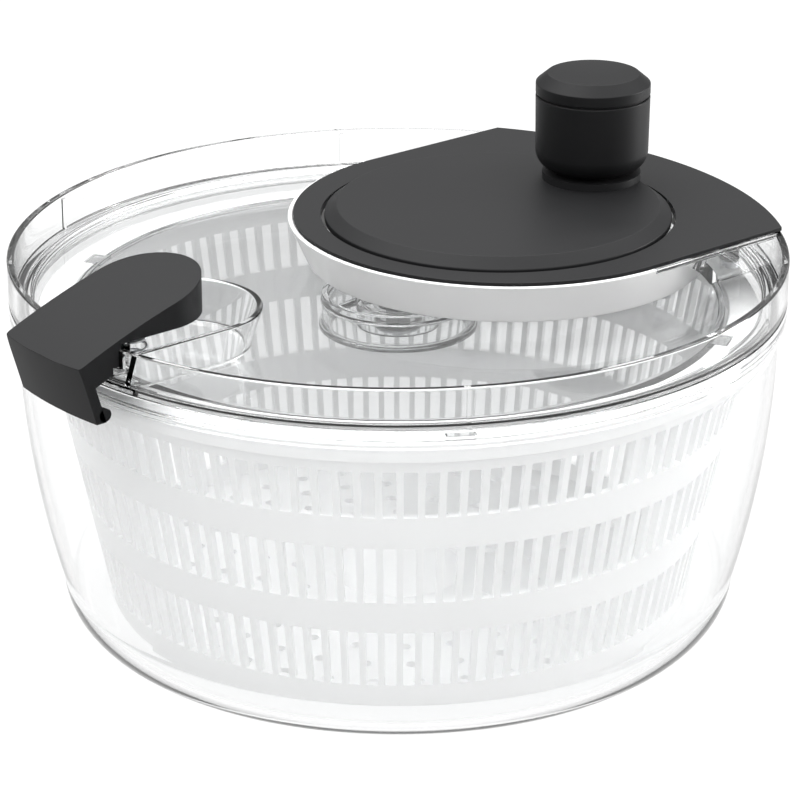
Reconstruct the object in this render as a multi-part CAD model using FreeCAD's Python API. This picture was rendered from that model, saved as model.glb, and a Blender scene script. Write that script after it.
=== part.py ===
import FreeCAD, Part
import math
import os

# Salad spinner. Millimetres, +Z up. The origin is on the bowl's axis, on the plane it stands on.
# +X points from the axis to the crank, -X to the lid latch.

V = FreeCAD.Vector
UP = V(0, 0, 1)

# ---- overall sizes -------------------------------------------------------------------------
lid_r = 125.0            # outside radius of the lid
bowl_h = 111.7           # height of the bowl's rim
lid_h = 13.0             # height of the lid wall above its tray floor
base_r = 96.5            # radius of the flat the bowl stands on

# ---- shared clearances ---------------------------------------------------------------------
seat_gap = 0.3           # between faces of two bodies that lie close together
run_gap = 0.05           # radial play of a shaft in its bush
side_gap = 0.6           # beside parts that drop into each other

# ---- bowl ----------------------------------------------------------------------------------
bowl_wall = 2.5
bowl_floor = 3.0
lip_h = 5.2              # height of the lip around the rim, which the latch hook catches
lip_w = 2.4              # how far the lip stands out
bowl_r = lid_r - lip_w   # outside radius of the wall under the lip
shoulder_r = base_r + 14.5
shoulder_z = 17.0
corner_drop = 0.29       # how far the corner arc bulges past its chord
belly = 3.2              # how far the side bulges past its chord
boss_r = 8.0
boss_h = 4.5
pin_r = 3.0
pin_top = 19.6

# ---- basket --------------------------------------------------------------------------------
basket_z = 8.0
basket_wall = 2.2
basket_floor = 2.2
basket_gap_top = 5.6     # to the inside of the bowl, at the top
basket_gap_low = 15.5    # from the bowl's shoulder, at the bottom
rim_w = 8.0              # width of the flat rim, inwards from the wall
rim_h = 2.4
rim_bead = 1.6           # how far the rim's skirt stands outside the wall
skirt_h = 6.0
slot_count = 110
slot_share = 0.66        # open part of each slot pitch
row_band = 11.0          # solid band between two rows of slots
row_top_band = 11.0
row_low_band = 9.0
row_top_short = 4.3      # the top row is this much shorter than the others
hub_r = 10.0
hub_h = 14.5
hub_cone_r = 22.0
bush_wall = 3.0
drain_r = 2.0
drain_rings = ((34.0, 12), (46.0, 18), (58.0, 24), (70.0, 30), (82.0, 36))

# ---- lid -----------------------------------------------------------------------------------
lid_wall = 2.4
lid_floor = 2.2
flange_w = 5.1           # inside width of the ledge over the bowl's rim
flange_h = 1.2
spigot_h = 5.5           # ring that centres the lid inside the bowl
spigot_w = 2.2
deck_z = bowl_h + seat_gap
lid_top = deck_z + lid_h
bowl_in_r = bowl_r - bowl_wall
spigot_r = bowl_in_r - side_gap
rib_angles = (60.0, 117.0, 240.0, 297.0)
rib_w = 1.4
rib_t = 0.9

# ---- gears and shafts ----------------------------------------------------------------------
module = 1.25
gear_teeth = 51
pinion_teeth = 17
backlash = 0.25
pressure = math.radians(20.0)
crank_x = module * (gear_teeth + pinion_teeth) / 2.0
gear_z = deck_z + 3.6
gear_t = 4.8
pinion_t = 5.8
crank_shaft_r = 6.0
drive_shaft_r = 4.0
shaft_flat = 3.1         # distance of the driving flats from the shaft's axis
bush_flange = 2.0
bush_flange_h = 1.8
lid_boss_wall = 3.0
lid_boss_z = deck_z - 2.8
collar_z = deck_z + bush_flange_h + seat_gap

# ---- crank cover, disc and knob ------------------------------------------------------------
cover_x = crank_x + 3.5
cover_r = 70.0
cover_t = 2.5
cover_rise = 1.5         # how far the cover stands above the lid wall
disc_hole_r = 58.2
disc_r = 57.0
disc_bevel = 4.0
disc_rise = 3.5          # height of the disc's flat top above the cover
disc_t = 2.8
house_wall = 3.0
house_rim = 2.0          # clear edge left around the cover
house_taper = 6.0
house_rise = 0.6         # how far the clear edge stands above the lid wall
cover_z = lid_top + cover_rise - cover_t
cover_top = lid_top + cover_rise
disc_top = cover_top + disc_rise
post_r = 3.2
cover_posts = ((crank_x + 19.5, 58.6), (crank_x + 55.5, 52.0))
gear_post_r = 4.0
gear_post_pitch = 22.0
knob_arm = 41.5          # distance of the knob's axis from the crank's axis
knob_x = crank_x + knob_arm
pad_r = 16.5
pad_h = 2.5
pad_inset = 0.6
knob_gap = 0.9
knob_r = 19.1
knob_low_r = 13.2
knob_round_h = 7.4
knob_h = 25.6            # from the knob's underside to the joint with its cap
knob_groove = 0.6
cap_h = 7.3
cap_chamfer_h = 3.2
cap_chamfer_w = 3.8
cap_dish = 1.2
knob_post_r = 4.0
knob_bore_top = 18.3     # height of the knob's bore above its underside
knob_well_r = 12.0

# ---- screws --------------------------------------------------------------------------------
screw_r = 1.5
screw_head_r = 2.8
screw_head_h = 2.0
washer_t = 1.0

# ---- drive plate ---------------------------------------------------------------------------
basket_top = deck_z - 7.0
plate_t = 1.8
lug_count = 6
lug_w = 8.0
lug_len = 4.4
cup_r = 24.7
cup_wall = 2.0
cup_low = 17.5           # bottom of the cup below the tray floor
cup_up = 2.5             # ring above the plate
inner_cup_r = 13.5
plate_boss_r = 8.0

# ---- latch ---------------------------------------------------------------------------------
latch_half = 19.6
brow_gap = 1.6           # between the lid wall and the part of the latch outside it
brow_drop = 7.4          # underside of that part, below the lid's top edge
knee_drop = 10.1         # where the flap begins, below the lid's top edge
flap_r = lid_r + 8.0     # radius of the flap's outer face at its bottom
flap_lean = 5.2          # how much larger that radius is at the top
flap_t = 3.4
flap_low = 21.8          # flap's bottom below the lid's top edge
flap_top_drop = 3.6      # flap's outer edge below the lid's top edge
arm_rise = 1.5           # underside of the arm above the lid's top edge
arm_tip_x = lid_r - 42.4
arm_tip_rise = 14.4      # top of the arm's inner end above the lid's top edge
arm_bulge = 1.6
hook_half = 15.0
hook_bite = 0.8          # how far the hook reaches in under the bowl's lip
hook_gap = 0.6           # between the hook and the bowl's lip
barrel_r = 3.6
bridge_drop = 5.4        # underside of the bridge over the rim, below the lid's top edge
latch_pin_r = 1.5
latch_pivot_x = -(lid_r - 8.0)
latch_pivot_z = lid_top - 3.5
ear_t = 3.0
ear_r = 4.0
barrel_half = 7.9
pocket_x = -(lid_r - 38.0)
pocket_r = 24.0
pocket_wall = 2.0
pocket_taper = 4.0
spring_x = latch_pivot_x + 14.0
spring_r = 3.1
spring_wire = 1.0
spring_turns = 5
spring_well = 2.8
notch_half = latch_half + side_gap
notch_z = lid_top - bridge_drop - side_gap


def disc_at(radius, z_low, z_high, x=0.0, y=0.0):
    return Part.makeCylinder(radius, z_high - z_low, V(x, y, z_low))


def ring_at(r_in, r_out, z_low, z_high, x=0.0, y=0.0):
    return disc_at(r_out, z_low, z_high, x, y).cut(disc_at(r_in, z_low, z_high, x, y))


def block(x_low, x_high, y_low, y_high, z_low, z_high):
    return Part.makeBox(x_high - x_low, y_high - y_low, z_high - z_low, V(x_low, y_low, z_low))


def line(a, b):
    return Part.LineSegment(V(a[0], 0, a[1]), V(b[0], 0, b[1])).toShape()


def arc(a, b, c):
    return Part.Arc(V(a[0], 0, a[1]), V(b[0], 0, b[1]), V(c[0], 0, c[1])).toShape()


def revolved(edges, x=0.0):
    """Turns a closed outline, drawn as (radius, height), about the Z axis."""
    solid = Part.Face(Part.Wire(edges)).revolve(V(0, 0, 0), UP, 360)
    solid.translate(V(x, 0, 0))
    return solid


def turned(points, x=0.0):
    """Turns a straight-sided outline of (radius, height) points about the Z axis."""
    pairs = zip(points, points[1:] + points[:1])
    return revolved([line(a, b) for a, b in pairs], x)


def joined(first, *others):
    return first.fuse(list(others)).removeSplitter()


def bulged(a, b, bulge):
    """Middle point of an arc from a to b that stands out from the chord by bulge."""
    dx, dz = b[0] - a[0], b[1] - a[1]
    length = math.hypot(dx, dz)
    return ((a[0] + b[0]) / 2 + dz / length * bulge, (a[1] + b[1]) / 2 - dx / length * bulge)


def save(name, shape):
    shape.exportStep("parts/" + name + ".step")


# ---- bowl ----------------------------------------------------------------------------------
def make_bowl():
    lip_z = bowl_h - lip_h
    corner = (shoulder_r - base_r) * corner_drop
    foot, side, top = (base_r, 0.0), (shoulder_r, shoulder_z), (bowl_r, lip_z)
    wall = bowl_wall
    foot_in = (base_r - wall / 2, bowl_floor)
    side_in = (shoulder_r - wall, shoulder_z + wall / 2)
    top_in = (bowl_r - wall, lip_z)
    outline = [
        line((0, 0), foot),
        arc(foot, bulged(foot, side, corner), side),
        arc(side, bulged(side, top, belly), top),
        line(top, (bowl_r + lip_w, lip_z)),
        line((bowl_r + lip_w, lip_z), (bowl_r + lip_w, bowl_h)),
        line((bowl_r + lip_w, bowl_h), (bowl_r - wall, bowl_h)),
        line((bowl_r - wall, bowl_h), top_in),
        arc(top_in, bulged(side_in, top_in, belly), side_in),
        arc(side_in, bulged(foot_in, side_in, corner), foot_in),
        line(foot_in, (0, bowl_floor)),
        line((0, bowl_floor), (0, 0)),
    ]
    boss = disc_at(boss_r, bowl_floor - 0.5, bowl_floor + boss_h)
    return joined(revolved(outline), boss).cut(disc_at(pin_r, bowl_floor, pin_top))


def make_pivot_pin():
    chamfer = 1.0
    return turned([(0, bowl_floor), (pin_r, bowl_floor), (pin_r, pin_top - chamfer),
                   (pin_r - chamfer, pin_top), (0, pin_top)])


# ---- basket --------------------------------------------------------------------------------
basket_low_r = shoulder_r - basket_gap_low
basket_top_r = bowl_in_r - basket_gap_top
rim_in_r = basket_top_r - rim_w


def basket_r(z):
    """Outside radius of the basket's wall at a height."""
    share = (z - basket_z) / (basket_top - basket_z)
    return basket_low_r + share * (basket_top_r - basket_low_r)


def slot_rows():
    """Bottom and top height of each row of slots, lowest first."""
    low, high = basket_z + row_low_band, basket_top - row_top_band
    full = (high - low - 2 * row_band + row_top_short) / 3.0
    rows = []
    for height in (full, full, full - row_top_short):
        rows.append((low, low + height))
        low += height + row_band
    return rows


def make_slots():
    cutters = []
    for low, high in slot_rows():
        radius = basket_r((low + high) / 2)
        width = 2 * math.pi * radius / slot_count * slot_share
        inner = basket_r(low) - 3 * basket_wall
        outer = basket_r(high) + basket_wall
        for index in range(slot_count):
            cutter = block(inner, outer, -width / 2, width / 2, low, high)
            cutter.rotate(V(0, 0, 0), UP, 360.0 * index / slot_count)
            cutters.append(cutter)
    return cutters


def make_drains():
    holes = []
    for ring_r, count in drain_rings:
        for index in range(count):
            angle = 2 * math.pi * (index + 0.5) / count
            x, y = ring_r * math.cos(angle), ring_r * math.sin(angle)
            holes.append(disc_at(drain_r, basket_z - 1, basket_z + basket_floor + 1, x, y))
    return holes


def make_basket():
    floor_z = basket_z + basket_floor
    chamfer = 2.5
    low_r, wall = basket_r(basket_z), basket_wall
    bead_r = basket_top_r + rim_bead
    shell = turned([
        (hub_r, basket_z), (low_r - chamfer, basket_z), (basket_r(basket_z + chamfer), basket_z + chamfer),
        (basket_r(basket_top - skirt_h), basket_top - skirt_h), (bead_r, basket_top - skirt_h),
        (bead_r, basket_top), (rim_in_r, basket_top), (rim_in_r, basket_top - rim_h),
        (basket_r(basket_top - rim_h) - wall, basket_top - rim_h),
        (basket_r(floor_z) - wall, floor_z), (hub_cone_r, floor_z), (hub_r + 2, basket_z + hub_h),
        (0, basket_z + hub_h), (0, basket_z + hub_h - 2), (hub_r, basket_z + hub_h - 2),
    ])
    bush_r = pin_r + run_gap + bush_wall
    socket = ring_at(bush_r, hub_r + 1, basket_z, basket_z + hub_h - 1)
    notch_in, notch_out = rim_in_r - 1, plate_r + lug_len + side_gap
    notches = []
    for index in range(lug_count):
        notch = block(notch_in, notch_out, -lug_w / 2 - side_gap, lug_w / 2 + side_gap,
                      basket_top - rim_h - 1, basket_top + 1)
        notch.rotate(V(0, 0, 0), UP, 360.0 * index / lug_count)
        notches.append(notch)
    basket = joined(shell, socket)
    basket = basket.cut(Part.makeCompound(make_drains() + notches))
    return basket.cut(Part.makeCompound(make_slots()))


def make_basket_bush():
    top = basket_z + hub_h - 2
    return ring_at(pin_r + run_gap, pin_r + run_gap + bush_wall, basket_z + 0.2, top)


# ---- U-shaped pockets of the lid -----------------------------------------------------------
def u_outline(x, radius, direction, z):
    """A half circle about (x, 0), carried on by two straight sides past the lid's edge."""
    far = direction * (lid_r + 30)
    tip = V(x - direction * radius, 0, z)
    left, right = V(x, radius, z), V(x, -radius, z)
    far_left, far_right = V(far, radius, z), V(far, -radius, z)
    return Part.Wire([
        Part.Arc(left, tip, right).toShape(),
        Part.LineSegment(right, far_right).toShape(),
        Part.LineSegment(far_right, far_left).toShape(),
        Part.LineSegment(far_left, left).toShape(),
    ])


def u_prism(x, radius, direction, z_low, z_high):
    face = Part.Face(u_outline(x, radius, direction, z_low))
    return face.extrude(V(0, 0, z_high - z_low))


def u_taper(x, r_low, r_high, direction, z_low, z_high):
    wires = [u_outline(x, r_low, direction, z_low), u_outline(x, r_high, direction, z_high)]
    return Part.makeLoft(wires, True, True)


def u_wall(x, radius, taper, wall, direction, z_high):
    """A wall on the tray floor around a U-shaped pocket, leaning in towards the floor."""
    z_low = deck_z
    outer = u_taper(x, radius + wall - taper, radius + wall, direction, z_low, z_high)
    inner = u_taper(x, radius - taper, radius, direction, z_low, z_high)
    return outer.cut(inner).common(disc_at(lid_r - lid_wall / 2, z_low, z_high))


# ---- lid -----------------------------------------------------------------------------------
def make_lid():
    inner_r = lid_r - lid_wall
    rounding = 0.8
    wall = turned([
        (inner_r - flange_w, deck_z), (lid_r, deck_z), (lid_r, lid_top - rounding),
        (lid_r - rounding, lid_top), (inner_r + rounding, lid_top), (inner_r, lid_top - rounding),
        (inner_r, deck_z + flange_h), (inner_r - flange_w, deck_z + flange_h),
    ])
    spigot = ring_at(spigot_r - spigot_w, spigot_r, deck_z - spigot_h, deck_z + 0.5)
    floor = disc_at(spigot_r, deck_z - lid_floor, deck_z)
    housing = u_wall(cover_x, cover_r + house_rim - house_wall, house_taper, house_wall, 1,
                     lid_top + house_rise)
    pocket = u_wall(pocket_x, pocket_r, pocket_taper, pocket_wall, -1, lid_top - seat_gap)
    crank_boss = disc_at(crank_shaft_r + bush_wall + lid_boss_wall, lid_boss_z, deck_z, crank_x)
    shaft_boss = disc_at(drive_shaft_r + bush_wall + lid_boss_wall, lid_boss_z, deck_z)
    peg = disc_at(spring_r - spring_wire, deck_z - 0.5, deck_z + 4, spring_x)
    pieces = [spigot, floor, housing, pocket, crank_boss, shaft_boss, peg]
    for side in (-1, 1):
        middle = side * (barrel_half + seat_gap + ear_t / 2)
        low, high = middle - ear_t / 2, middle + ear_t / 2
        ear = block(latch_pivot_x - ear_r, latch_pivot_x + ear_r, low, high, deck_z, latch_pivot_z)
        top = Part.makeCylinder(ear_r, ear_t, V(latch_pivot_x, low, latch_pivot_z), V(0, 1, 0))
        pieces += [ear, top]
    for angle in rib_angles:
        rib = block(inner_r - rib_t, inner_r + 1.0, -rib_w / 2, rib_w / 2, deck_z, lid_top - 1.0)
        rib.rotate(V(0, 0, 0), UP, angle)
        pieces.append(rib)
    lid = joined(wall, *pieces)
    cuts = [
        u_prism(cover_x, cover_r + seat_gap, 1, cover_z, lid_top + 10),
        disc_at(crank_shaft_r + run_gap + bush_wall, lid_boss_z - 1, deck_z + 1, crank_x),
        disc_at(drive_shaft_r + run_gap + bush_wall, lid_boss_z - 1, deck_z + 1),
        Part.makeCylinder(latch_pin_r, 60, V(latch_pivot_x, -30, latch_pivot_z), V(0, 1, 0)),
        block(-lid_r - 1, latch_pivot_x - ear_r, -notch_half, notch_half, notch_z, lid_top + 1),
    ]
    for x, y in cover_posts:
        for side in (-1, 1):
            cuts.append(disc_at(screw_r + 0.2, deck_z - 5, deck_z + 1, x, side * y))
    return lid.cut(cuts)


def flanged_bush(shaft_r, x):
    inner, outer = shaft_r + run_gap, shaft_r + run_gap + bush_wall
    tube = ring_at(inner, outer, lid_boss_z, deck_z + bush_flange_h, x)
    flange = ring_at(inner, outer + bush_flange, deck_z, deck_z + bush_flange_h, x)
    return joined(tube, flange)


def make_cover():
    plate = u_prism(cover_x, cover_r, 1, cover_z, cover_top).common(disc_at(lid_r, cover_z, cover_top))
    posts = []
    pilots = [disc_at(disc_hole_r, cover_z - 1, cover_top + 1, crank_x)]
    for x, y in cover_posts:
        for side in (-1, 1):
            posts.append(disc_at(post_r, deck_z, cover_z + 0.5, x, side * y))
            pilots.append(disc_at(screw_r, deck_z - 1, deck_z + 8, x, side * y))
    return joined(plate, *posts).cut(pilots)


def screw_up(x, y, z, length):
    """A screw driven upwards: its head hangs below the height z."""
    head = disc_at(screw_head_r, z - screw_head_h, z, x, y)
    slot = block(x - screw_head_r, x + screw_head_r, y - 0.4, y + 0.4, z - screw_head_h, z - screw_head_h + 0.8)
    return joined(head, disc_at(screw_r, z, z + length, x, y)).cut(slot)


def make_cover_screws():
    z = deck_z - lid_floor
    screws = [screw_up(x, side * y, z, 8) for x, y in cover_posts for side in (-1, 1)]
    return Part.makeCompound(screws)


# ---- crank ---------------------------------------------------------------------------------
def gear_outline(teeth, phase):
    """Involute teeth of the shared module; one tooth is centred on the angle phase."""
    pitch_r = module * teeth / 2
    base = pitch_r * math.cos(pressure)
    tip, root = pitch_r + module, pitch_r - 1.25 * module

    def involute(angle):
        return math.tan(angle) - angle

    half = math.pi / (2 * teeth) - backlash / (2 * pitch_r) + involute(pressure)
    flank = []
    steps = 4
    start = max(base, root) + 0.01
    for index in range(steps + 1):
        radius = start + (tip - start) * index / steps
        flank.append((radius, half - involute(math.acos(base / radius))))
    if root < start:
        flank.insert(0, (root, flank[0][1]))
    points = []
    for tooth in range(teeth):
        middle = phase + 2 * math.pi * tooth / teeth
        points += [(r, middle - a) for r, a in flank]
        points += [(r, middle + a) for r, a in reversed(flank)]
    return [V(r * math.cos(a), r * math.sin(a), 0) for r, a in points]


def make_gear(teeth, phase, z_low, thickness, x):
    points = gear_outline(teeth, phase)
    gear = Part.Face(Part.makePolygon(points + points[:1])).extrude(V(0, 0, thickness))
    gear.translate(V(x, 0, z_low))
    return gear


def gear_post_spots():
    for index in range(3):
        angle = math.radians(60 + 120 * index)
        yield crank_x + gear_post_pitch * math.cos(angle), gear_post_pitch * math.sin(angle)


def make_crank_disc():
    gear_top = gear_z + gear_t
    under = disc_top - disc_t
    edge = disc_bevel + 2.0
    edge_z = cover_top - 1.9
    disc = turned([
        (0, gear_top), (crank_shaft_r + 3, gear_top), (crank_shaft_r + 3, under), (disc_r - edge, under),
        (disc_r - edge + 2, edge_z), (disc_r, edge_z), (disc_r, disc_top - disc_bevel + 0.5),
        (disc_r - disc_bevel, disc_top), (0, disc_top),
    ], crank_x)
    pad = disc_at(pad_r, disc_top - 1, disc_top + pad_h, knob_x)
    pad = pad.common(disc_at(disc_r - pad_inset, disc_top - 1, disc_top + pad_h, crank_x))
    boss = disc_at(knob_post_r + 3, cover_top + 0.5, disc_top - 1, knob_x)
    boss = boss.common(disc_at(disc_r - 0.5, cover_top, disc_top, crank_x))
    shaft = disc_at(crank_shaft_r, lid_boss_z - 0.2, gear_top + 1, crank_x)
    posts = [disc_at(gear_post_r, gear_top, under + 0.5, x, y) for x, y in gear_post_spots()]
    disc = joined(disc, pad, boss, shaft, *posts)
    holes = [disc_at(screw_r, gear_top - 1, gear_top + 5, x, y) for x, y in gear_post_spots()]
    holes.append(disc_at(screw_r, lid_boss_z - 1, lid_boss_z + 10, crank_x))
    holes.append(disc_at(knob_post_r, cover_top + 1.5, disc_top + pad_h + 1, knob_x))
    return disc.cut(holes)


def make_drive_gear():
    gear = make_gear(gear_teeth, math.pi, gear_z, gear_t, crank_x)
    web = ring_at(crank_shaft_r + 5, module * gear_teeth / 2 - 5, gear_z + gear_t - 1.6, gear_z + gear_t, crank_x)
    holes = [disc_at(crank_shaft_r, collar_z - 1, gear_z + gear_t + 1, crank_x)]
    holes += [disc_at(screw_r + 0.2, gear_z - 1, gear_z + gear_t + 1, x, y) for x, y in gear_post_spots()]
    lands = [disc_at(gear_post_r, gear_z + gear_t - 2, gear_z + gear_t, x, y) for x, y in gear_post_spots()]
    collar = disc_at(crank_shaft_r + bush_wall, collar_z, gear_z + 0.5, crank_x)
    return joined(gear.cut(web.cut(lands)), collar).cut(holes)


def make_gear_screws():
    return Part.makeCompound([screw_up(x, y, gear_z, gear_t + 4) for x, y in gear_post_spots()])


def make_washer(outer_r, z_low, x=0.0):
    return ring_at(screw_r + 0.1, outer_r, z_low, z_low + washer_t, x)


# ---- knob ----------------------------------------------------------------------------------
knob_z = disc_top + pad_h + knob_gap
knob_ledge = knob_z + knob_bore_top
knob_top = knob_z + knob_h
post_top = knob_ledge + seat_gap


def make_knob_post():
    collar = disc_at(knob_post_r + 2, disc_top + pad_h, disc_top + pad_h + knob_gap - seat_gap, knob_x)
    stem = disc_at(knob_post_r, cover_top + 1.5, post_top, knob_x)
    return joined(stem, collar).cut(disc_at(screw_r, post_top - 8, post_top + 1, knob_x))


def make_knob_body():
    low, side = (knob_low_r, knob_z), (knob_r - 0.2, knob_z + knob_round_h)
    bore = knob_post_r + run_gap
    outline = [
        line((bore, knob_z), low),
        arc(low, bulged(low, side, 1.6), side),
        line(side, (knob_r, knob_top)),
        line((knob_r, knob_top), (knob_well_r, knob_top)),
        line((knob_well_r, knob_top), (knob_well_r, knob_ledge)),
        line((knob_well_r, knob_ledge), (bore, knob_ledge)),
        line((bore, knob_ledge), (bore, knob_z)),
    ]
    return revolved(outline, knob_x)


def make_knob_cap():
    top = knob_top + cap_h
    shoulder = (knob_r, top - cap_chamfer_h)
    brow = (knob_r - cap_chamfer_w, top)
    neck_r = knob_r - 0.8
    inner_r = knob_well_r - 2
    outline = [
        line((0, top), (0, knob_top + 1)),
        line((0, knob_top + 1), (inner_r, knob_top + 1)),
        line((inner_r, knob_top + 1), (inner_r, knob_top - 2.5)),
        line((inner_r, knob_top - 2.5), (knob_well_r, knob_top - 2.5)),
        line((knob_well_r, knob_top - 2.5), (knob_well_r, knob_top)),
        line((knob_well_r, knob_top), (neck_r, knob_top)),
        line((neck_r, knob_top), (neck_r, knob_top + knob_groove)),
        line((neck_r, knob_top + knob_groove), (knob_r, knob_top + knob_groove)),
        line((knob_r, knob_top + knob_groove), shoulder),
        arc(shoulder, bulged(shoulder, brow, 0.5), brow),
        line(brow, (0, top)),
    ]
    dish_r = (brow[0] ** 2 + cap_dish ** 2) / (2 * cap_dish)
    dish = Part.makeSphere(dish_r, V(knob_x, 0, top - cap_dish + dish_r))
    return revolved(outline, knob_x).cut(dish)


def screw_down(x, z, length):
    """A screw driven downwards: its head stands on the height z."""
    head = disc_at(screw_head_r, z, z + screw_head_h, x)
    slot = block(x - screw_head_r, x + screw_head_r, -0.4, 0.4, z + screw_head_h - 0.8, z + screw_head_h)
    return joined(head, disc_at(screw_r, z - length, z, x)).cut(slot)


# ---- drive to the basket -------------------------------------------------------------------
plate_r = rim_in_r - 1.2
plate_low = basket_top - plate_t
shaft_low = deck_z - cup_low + 1.0


def two_flats(z_low, z_high):
    """The shaft's section with its two driving flats."""
    round_part = disc_at(drive_shaft_r, z_low, z_high)
    return round_part.common(block(-drive_shaft_r, drive_shaft_r, -shaft_flat, shaft_flat, z_low, z_high))


def make_pinion():
    phase = math.pi / pinion_teeth
    gear = make_gear(pinion_teeth, phase, gear_z - 0.5, pinion_t, 0.0)
    collar = disc_at(drive_shaft_r + 2, collar_z, gear_z)
    return joined(gear, collar).cut(two_flats(deck_z, gear_z + pinion_t + 1))


def make_drive_shaft():
    pinion_top = gear_z - 0.5 + pinion_t
    head = disc_at(drive_shaft_r + 2, pinion_top, pinion_top + 1.2)
    upper = two_flats(collar_z, pinion_top + 0.5)
    middle = disc_at(drive_shaft_r, lid_boss_z - 0.8, collar_z)
    lower = two_flats(shaft_low, lid_boss_z)
    shaft = joined(head, upper, middle, lower)
    return shaft.cut(disc_at(screw_r, shaft_low - 1, shaft_low + 10))


def make_drive_plate():
    cup_z = deck_z - cup_low
    plate = disc_at(plate_r, plate_low, basket_top)
    edge = ring_at(plate_r - 2, plate_r, plate_low, basket_top + 1)
    cup = ring_at(cup_r - cup_wall, cup_r, cup_z, basket_top + cup_up)
    lip = ring_at(cup_r - cup_wall - 1.0, cup_r + 1.0, cup_z, cup_z + 1.6)
    inner = ring_at(inner_cup_r - 1.6, inner_cup_r, cup_z + 1, plate_low + 0.5)
    boss = disc_at(plate_boss_r, shaft_low, lid_boss_z - 0.8)
    pieces = [edge, cup, lip, inner, boss]
    for index in range(lug_count):
        lug = block(plate_r - 3, plate_r + lug_len, -lug_w / 2, lug_w / 2, plate_low, basket_top)
        lug.rotate(V(0, 0, 0), UP, 360.0 * index / lug_count)
        pieces.append(lug)
    for index in range(4):
        web = block(plate_boss_r - 1, inner_cup_r - 0.5, -0.8, 0.8, shaft_low, plate_low + 0.5)
        web.rotate(V(0, 0, 0), UP, 45 + 90.0 * index)
        pieces.append(web)
    return joined(plate, *pieces).cut(two_flats(shaft_low - 1, lid_boss_z + 1))


# ---- latch ---------------------------------------------------------------------------------
def across(edges, half):
    """Pulls an outline drawn in the XZ plane to both sides of that plane."""
    face = Part.Face(Part.Wire(edges))
    face.translate(V(0, -half, 0))
    return face.extrude(V(0, 2 * half, 0))


def make_latch():
    low, under = lid_top - flap_low, lid_top + arm_rise
    brow_in, top_r = lid_r + brow_gap, flap_r + flap_lean
    back = -(top_r + 4)
    edge_x, edge_z = -(top_r + 0.1), lid_top - flap_top_drop
    tip_x, tip_z = -arm_tip_x, lid_top + arm_tip_rise
    crown = bulged((edge_x, edge_z), (tip_x, tip_z), -arm_bulge)
    body = across([
        line((back, low), (back, edge_z)),
        line((back, edge_z), (edge_x, edge_z)),
        arc((edge_x, edge_z), crown, (tip_x, tip_z)),
        line((tip_x, tip_z), (tip_x, low)),
        line((tip_x, low), (back, low)),
    ], latch_half)
    round_x = -arm_tip_x - latch_half
    plan = joined(block(back, round_x, -latch_half, latch_half, low, tip_z),
                  disc_at(latch_half, low, tip_z, round_x))
    arm = body.common(plan).common(block(back, tip_x, -latch_half, latch_half, under, tip_z))
    knee_z = lid_top - knee_drop
    knee_r = flap_r - flap_t + flap_lean * (knee_z - low) / (edge_z - low)
    shell = turned([
        (brow_in, lid_top - brow_drop), (knee_r, knee_z), (flap_r - flap_t, low), (flap_r, low),
        (top_r, edge_z), (top_r, tip_z), (brow_in, tip_z),
    ])
    flap = body.common(shell)
    round_cut = disc_at(top_r, low, tip_z)
    hook_top = bowl_h - lip_h - hook_gap
    hook_in = lid_r - hook_bite
    hook = turned([
        (hook_in + 0.8, low + 0.5), (flap_r - 1.5, low), (flap_r - 1.5, hook_top + 1.4),
        (flap_r - flap_t, hook_top + 1.4), (hook_in + 0.8, hook_top), (hook_in, hook_top - 1),
    ])
    hook = hook.common(block(back, tip_x, -hook_half, hook_half, low, hook_top + 2))
    barrel = Part.makeCylinder(barrel_r, 2 * barrel_half, V(latch_pivot_x, -barrel_half, latch_pivot_z), V(0, 1, 0))
    web = block(latch_pivot_x - barrel_r, latch_pivot_x + barrel_r, -barrel_half, barrel_half,
                latch_pivot_z, under + 0.5)
    bridge = block(-brow_in - 1, latch_pivot_x - ear_r - 1, -latch_half, latch_half,
                   lid_top - bridge_drop, under + 0.5)
    neck = block(-lid_r, latch_pivot_x, -barrel_half, barrel_half, lid_top - bridge_drop, under + 0.5)
    latch = joined(arm.common(round_cut), flap, hook, barrel, web, bridge.common(body), neck.common(body))
    pin_hole = Part.makeCylinder(latch_pin_r + run_gap, 60, V(latch_pivot_x, -30, latch_pivot_z), V(0, 1, 0))
    well = disc_at(spring_r + spring_wire + 0.3, under - 1, under + spring_well, spring_x)
    return latch.cut([pin_hole, well])


def make_latch_pin():
    half = barrel_half + seat_gap + ear_t
    return Part.makeCylinder(latch_pin_r, 2 * half, V(latch_pivot_x, -half, latch_pivot_z), V(0, 1, 0))


def make_latch_spring():
    low = deck_z + spring_wire / 2
    height = lid_top + arm_rise + spring_well - spring_wire / 2 - low
    helix = Part.makeHelix(height / spring_turns, height, spring_r)
    section = Part.Wire([Part.makeCircle(spring_wire / 2, V(spring_r, 0, 0), V(0, 1, 0))])
    spring = helix.makePipeShell([section], True, True)
    spring.translate(V(spring_x, 0, low))
    return spring


os.makedirs("parts", exist_ok=True)

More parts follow.
